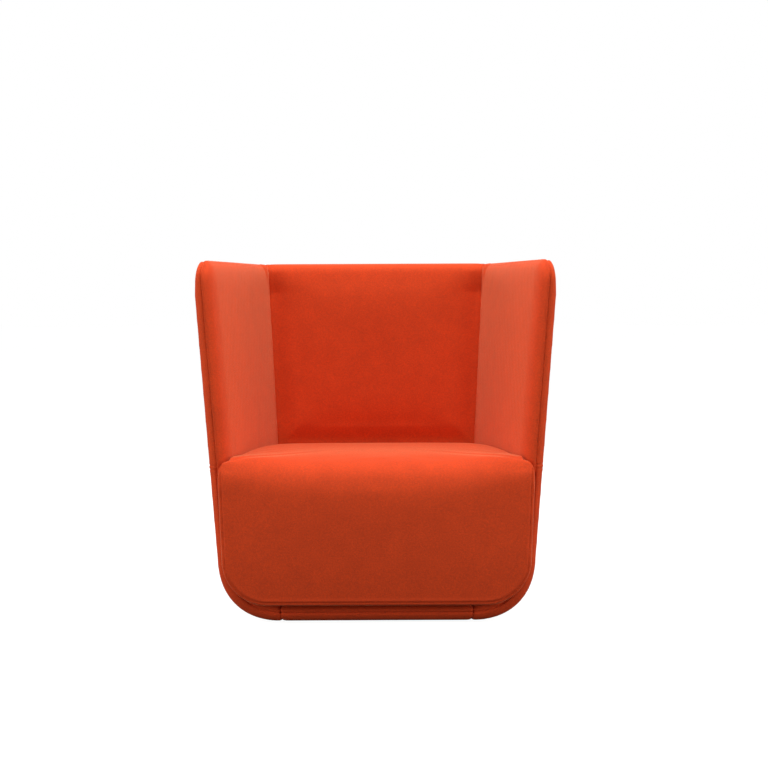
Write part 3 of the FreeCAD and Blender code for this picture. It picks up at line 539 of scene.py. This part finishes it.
def soften_rim(obj):
    """Lets the inner face curve softly over to the ridge seam, along the wings' front and along the top."""
    p = points_of(obj.data)
    inner = np.clip((outer_depth(p) - RIDGE_DEPTH) / RIM_BLEND, 0, 1)
    front = np.clip(1 - (p[:, 1] - SHELL_FRONT_Y) / RIM_REACH, 0, 1)
    top = np.clip(1 - (HEIGHT - p[:, 2]) / RIM_REACH, 0, 1)
    drop = RIM_DROP * inner * (1 - np.sqrt(np.clip(1 - front ** 2 - top ** 2, 0, 1)))
    on_back = pad_height(p) < PAD_FRONT
    p[:, 0] += np.where(on_back, 0, np.sign(p[:, 0]) * drop)
    p[:, 1] += np.where(on_back, drop, 0)
    set_points(obj.data, p)


def widen(obj, extra):
    """Spreads a wall so that it presses into the walls beside it, as stuffed pieces do at a seam."""
    p = points_of(obj.data)
    p[:, 0] += extra * p[:, 0] / np.abs(p[:, 0]).max()
    set_points(obj.data, p)


def round_off(p, inward, below, radius, amount):
    """Pulls an upper outer edge in to a radius; inward and below are the depths under its two faces."""
    u = np.maximum(radius - inward, 0)
    v = np.maximum(radius - below, 0)
    length = np.maximum(np.hypot(u, v), NOT_ZERO)
    over = np.maximum(length - radius, 0) * amount
    p[:, 0] -= np.sign(p[:, 0]) * over * u / length
    p[:, 2] -= over * v / length


def shape_outline(obj):
    """Rounds a wing's top front corner and fills the turn under its foot, where the cover is wadded."""
    p = points_of(obj.data)
    outer = np.clip(1 - outer_depth(p) / OUTLINE_BLEND, 0, 1)
    top = np.clip((p[:, 2] - TOP_TURN_Z) / (HEIGHT - TOP_TURN_Z), 0, 1) ** TOP_TURN_POWER
    forward = np.clip((TURN_END_Y - p[:, 1]) / (TURN_END_Y - SHELL_FRONT_Y), 0, 1)
    p[:, 0] -= np.sign(p[:, 0]) * TOP_TURN * top * outer * forward
    round_off(p, side_depth(p), HEIGHT - p[:, 2], TOP_ROUND, smooth_step(-p[:, 1], *ROUND_FADE))
    u = np.maximum(BOTTOM_RADIUS - side_depth(p), 0)
    v = np.maximum(BOTTOM_RADIUS - p[:, 2] + UNDERSIDE_Z, 0)
    length = np.maximum(np.hypot(u, v), NOT_ZERO)
    fill = FOOT_FILL * 4 * (u * v / length ** 2) ** 2 * outer * forward
    p[:, 0] += np.sign(p[:, 0]) * fill * u / length
    p[:, 2] -= fill * v / length
    set_points(obj.data, p)


def draw_in(obj):
    """Draws the back pad's sides and foot in, so that its face curves away from the wings and the seat."""
    p = points_of(obj.data)
    front = np.clip((pad_height(p) + PAD_BACK) / PAD_BLEND, 0, 1)
    beside = np.maximum(side_depth(p) - SIDE_WALL, 0)
    above = np.maximum(p[:, 2] - SEAT_TOP_Z + PAD_FOOT_LIFT, 0)
    drop = PAD_EDGE_DROP * np.exp(-(beside / PAD_EDGE_REACH) ** 2)
    drop = np.maximum(drop, PAD_FOOT_DROP * np.exp(-(above / PAD_FOOT_REACH) ** 2))
    p[:, 1] += drop * front * np.clip((HEIGHT - PAD_TOP_STOP - p[:, 2]) / PAD_TOP_FADE, 0, 1)
    set_points(obj.data, p)


def held_back(p):
    free = (pad_height(p) > -BACK_HELD_FACE) & (p[:, 2] > SEAT_TOP_Z)
    free &= side_depth(p) > SIDE_WALL + BACK_HELD_SIDE
    return np.where(free, 0.0, 1.0)


def make_wing(side):
    soft = ["inner_cover_" + side, "inner_foam_" + side, "outer_foam_" + side,
            "outer_cover_" + side + "_upper", "outer_cover_" + side + "_lower"]
    hard = ["side_panel_" + side, "corner_post_" + side]
    obj = skin_over("wing_" + side, soft + hard)
    crown(obj)
    soften_rim(obj)
    shape_outline(obj)
    sew(obj, WING_SEAMS)
    finish_piece(obj, "wool", soft)


def make_back():
    soft = ["inner_cover_back", "inner_foam_back", "outer_foam_back", "back_webbing",
            "outer_cover_back_upper", "outer_cover_back_lower"]
    hard = ["back_panel", "rear_rib_left", "rear_rib_right"]
    obj = skin_over("backrest", soft + hard)
    draw_in(obj)
    soften_rim(obj)
    widen(obj, SIDE_PRESS)
    inflate(obj, held_back(points_of(obj.data)), BACK_SWELL)
    sew(obj, WING_SEAMS)
    finish_piece(obj, "wool", soft)


def make_base():
    soft = ["front_band_cover", "deck_cover", "underside_cover", "base_foam"]
    obj = skin_over("base_wrap", soft + ["base_board"])
    widen(obj, SIDE_PRESS)
    sew(obj, [seam(ridge_seam)])
    finish_piece(obj, "wool", soft)


# The seat block.

SEAT_SWELL = 0.008
SEAT_HELD_TOP = 0.02
SEAT_HELD_SIDE = 0.006
CORNER_LIFT = 0.010
CORNER_DROP = 0.004
CORNER_ROUND = 0.046
EDGE_REACH = 0.020  # how far in from the wings the seat's top edges are filled
EDGE_FILL = 0.8
TOP_FILL_FADE = (-0.022, -0.012)  # heights against the seat's top plane: the edge fill comes in between
FILL_START_Y = (-0.34, -0.29)
CORNER_ACROSS = (0.16, 0.35)
CORNER_Z = (0.33, 0.385)
CORNER_Y = (0.16, 0.30)
LAP_FADE = 0.012  # the corner's rounding comes in over this, behind the shell's front


def held_seat(p):
    in_shell = (p[:, 1] > SHELL_FRONT_Y - NEAR) & (seat_top_depth(p) > SEAT_HELD_TOP)
    edge = (lap_depth(p) < BOXING_SEAM + NEAR) & (seat_top_depth(p) > TOP_SEAM_DROP)
    rear = pad_height(p) < SEAT_HELD_SIDE
    side = (side_depth(p) < SIDE_WALL + SEAT_HELD_SIDE) & (p[:, 1] > SHELL_FRONT_Y)
    return np.where(in_shell | edge | rear | side, 1.0, 0.0)


def fill_corners(obj):
    """Presses the seat's top edges up against the wings and fills its two front top corners."""
    p = points_of(obj.data)
    inside = np.clip((side_depth(p) - SIDE_WALL) / EDGE_REACH, 0, 1)
    short = EDGE_REACH * (1 - np.sqrt(1 - (1 - inside) ** 2))
    near_top = smooth_step(-seat_top_depth(p), *TOP_FILL_FADE)
    p[:, 2] += EDGE_FILL * short * near_top * smooth_step(p[:, 1], *FILL_START_Y)
    across = smooth_step(np.abs(p[:, 0]), *CORNER_ACROSS)
    p[:, 2] += CORNER_LIFT * across * smooth_step(p[:, 2], *CORNER_Z) * smooth_step(-p[:, 1], *CORNER_Y)
    beside = LAP_HALF_TOP - np.abs(p[:, 0])
    below = SEAT_TOP_Z + CORNER_LIFT - CORNER_DROP - p[:, 2]
    in_lap = smooth_step(-p[:, 1], -SHELL_FRONT_Y - LAP_FADE, -SHELL_FRONT_Y)
    round_off(p, beside, below, CORNER_ROUND, in_lap)
    set_points(obj.data, p)


def make_seat():
    soft = ["seat_cover_panel", "seat_cover_strip", "seat_cover_left", "seat_cover_right", "seat_cover_rear",
            "seat_bottom_cloth", "seat_foam", "seat_insulator", "seat_webbing_long", "seat_webbing_cross"]
    hard = ["seat_floor_board", "seat_front_board", "seat_rear_board", "seat_rail_left", "seat_rail_right"]
    obj = skin_over("seat_cushion", soft + hard)
    inflate(obj, held_seat(points_of(obj.data)), SEAT_SWELL)
    fill_corners(obj)
    sew(obj, [seam(boxing_front_seam, 0.0022, 0.0016, 0.0010), seam(boxing_rear_seam, 0.0015),
              seam(seat_side_seam, 0.0015)])
    finish_piece(obj, "wool", soft)


# The dust cover.

FACING_DOWN = -0.9  # a face whose normal's height is below this looks down


def make_dust_cover():
    """Thin black cloth stapled flat under the base."""
    bm = bmesh.new()
    bm.from_mesh(frame["nodes"]["dust_cover"].data)
    others = [f for f in bm.faces if f.normal.z > FACING_DOWN]
    bmesh.ops.delete(bm, geom=others, context="FACES")
    bmesh.ops.subdivide_edges(bm, edges=bm.edges[:], cuts=3, use_grid_fill=True)
    mesh = bpy.data.meshes.new("dust_cloth")
    bm.to_mesh(mesh)
    area = sum(f.calc_area() for f in bm.faces)
    bm.free()
    obj = new_object("dust_cloth", mesh)
    finish_piece(obj, "lining", ["dust_cover"])


make_wing("left")
make_wing("right")
make_back()
make_base()
make_seat()
make_dust_cover()

# Floor, light and camera.

FLOOR_HALF = 30.0
FLOOR_GLOW = 0.955
FLOOR_SEEN = (0.20,) * 3  # the tone that carries the shadow for the camera
FLOOR_TONE = (0.12,) * 3  # the tone that lights the chair from below


def floor_material():
    """Pale plain floor, which the camera sees white with the chair's faint shadow on it."""
    s = Shader("floor_pale")
    light = s.node("LightPath")
    glow = s.node("Emission", Color=(1, 1, 1, 1), Strength=FLOOR_GLOW)
    pale = s.node("BsdfDiffuse", Color=(*FLOOR_SEEN, 1))
    seen = s.node("AddShader")
    s.join(glow.outputs[0], seen.inputs[0])
    s.join(pale.outputs[0], seen.inputs[1])
    plain = s.node("BsdfDiffuse", Color=(*FLOOR_TONE, 1))
    chosen = s.node("MixShader")
    s.join(light.outputs["Is Camera Ray"], chosen.inputs[0])
    s.join(plain.outputs[0], chosen.inputs[1])
    s.join(seen.outputs[0], chosen.inputs[2])
    s.join(chosen.outputs[0], s.tree.nodes["Material Output"].inputs["Surface"])
    s.tree.nodes.remove(s.principled)
    return s.material


floor_mesh = bpy.data.meshes.new("floor")
floor_mesh.from_pydata([(-FLOOR_HALF, -FLOOR_HALF, 0), (FLOOR_HALF, -FLOOR_HALF, 0),
                        (FLOOR_HALF, FLOOR_HALF, 0), (-FLOOR_HALF, FLOOR_HALF, 0)], [], [(0, 1, 2, 3)])
floor = new_object("floor", floor_mesh)
floor_mesh.materials.append(floor_material())

WORLD_LIGHT = 0.24
WORLD_SEEN = 1.0  # plain white


def make_world():
    """Soft even light on the chair; the camera and glossy reflections see plain white."""
    world = bpy.data.worlds.new("studio")
    bpy.context.scene.world = world
    world.use_nodes = True
    tree = world.node_tree
    tree.nodes.clear()
    light_path = tree.nodes.new("ShaderNodeLightPath")
    either = tree.nodes.new("ShaderNodeMath")
    either.operation = "MAXIMUM"
    mix = tree.nodes.new("ShaderNodeMixShader")
    out = tree.nodes.new("ShaderNodeOutputWorld")
    tree.links.new(light_path.outputs["Is Camera Ray"], either.inputs[0])
    tree.links.new(light_path.outputs["Is Glossy Ray"], either.inputs[1])
    tree.links.new(either.outputs[0], mix.inputs[0])
    for slot, strength in ((1, WORLD_LIGHT), (2, WORLD_SEEN)):
        background = tree.nodes.new("ShaderNodeBackground")
        background.inputs["Color"].default_value = (1, 1, 1, 1)
        background.inputs["Strength"].default_value = strength
        tree.links.new(background.outputs[0], mix.inputs[slot])
    tree.links.new(mix.outputs[0], out.inputs["Surface"])


make_world()


def area_light(name, place, aim, size, power):
    data = bpy.data.lights.new(name, "AREA")
    data.shape = "SQUARE"
    data.size = size
    data.energy = power
    lamp = bpy.data.objects.new(name, data)
    bpy.context.scene.collection.objects.link(lamp)
    lamp.location = place
    lamp.rotation_mode = "QUATERNION"
    lamp.rotation_quaternion = (Vector(aim) - Vector(place)).to_track_quat("-Z", "Y")
    lamp.visible_camera = False


# Each lamp: its name, place, aim, width in metres and power in watts. Side lamps stand on both sides.
MIDDLE_LAMPS = [
    ("overhead", (0, -0.3, 3.4), (0, -0.1, 0.5), 2.2, 112),
    ("front", (0, -2.0, 2.2), (0, 0.1, 0.6), 1.2, 7),
    ("rear", (0, 3.0, 1.0), (0, 0.2, 0.4), 1.6, 40),
]
SIDE_LAMPS = [
    ("front_", (2.7, -2.2, 1.2), (0, -0.2, 0.4), 1.2, 11),
    ("", (3.0, -0.8, 1.6), (0, -0.1, 0.5), 1.8, 21),
    ("low_", (3.0, -1.2, 0.6), (0, -0.2, 0.4), 1.0, 25),
]
for lamp in MIDDLE_LAMPS:
    area_light(*lamp)
for side, turn in (("left", -1), ("right", 1)):
    for prefix, (x, y, z), aim, size, power in SIDE_LAMPS:
        area_light(prefix + side, (x * turn, y, z), aim, size, power)

IMAGE = 768
SENSOR = 36
FOCAL_PIXELS = 1446
CAMERA_DISTANCE = 3.5
CAMERA_HEIGHT = 0.804
HORIZON_ROW = 292.5  # of the photograph, from its top; the camera looks level
CENTRE_COLUMN = 375.5  # where the chair's middle stands in the photograph
ROLL_DEG = 0.25

camera_data = bpy.data.cameras.new("camera")
camera_data.sensor_width = SENSOR
camera_data.lens = SENSOR * FOCAL_PIXELS / IMAGE
camera_data.shift_x = (IMAGE / 2 - CENTRE_COLUMN) / IMAGE
camera_data.shift_y = (HORIZON_ROW - IMAGE / 2) / IMAGE
camera = bpy.data.objects.new("camera", camera_data)
bpy.context.scene.collection.objects.link(camera)
camera.location = (0, SHELL_FRONT_Y - CAMERA_DISTANCE, CAMERA_HEIGHT)
camera.rotation_euler = (math.radians(90), math.radians(ROLL_DEG), 0)
bpy.context.scene.camera = camera
bpy.context.scene.view_settings.view_transform = "Standard"
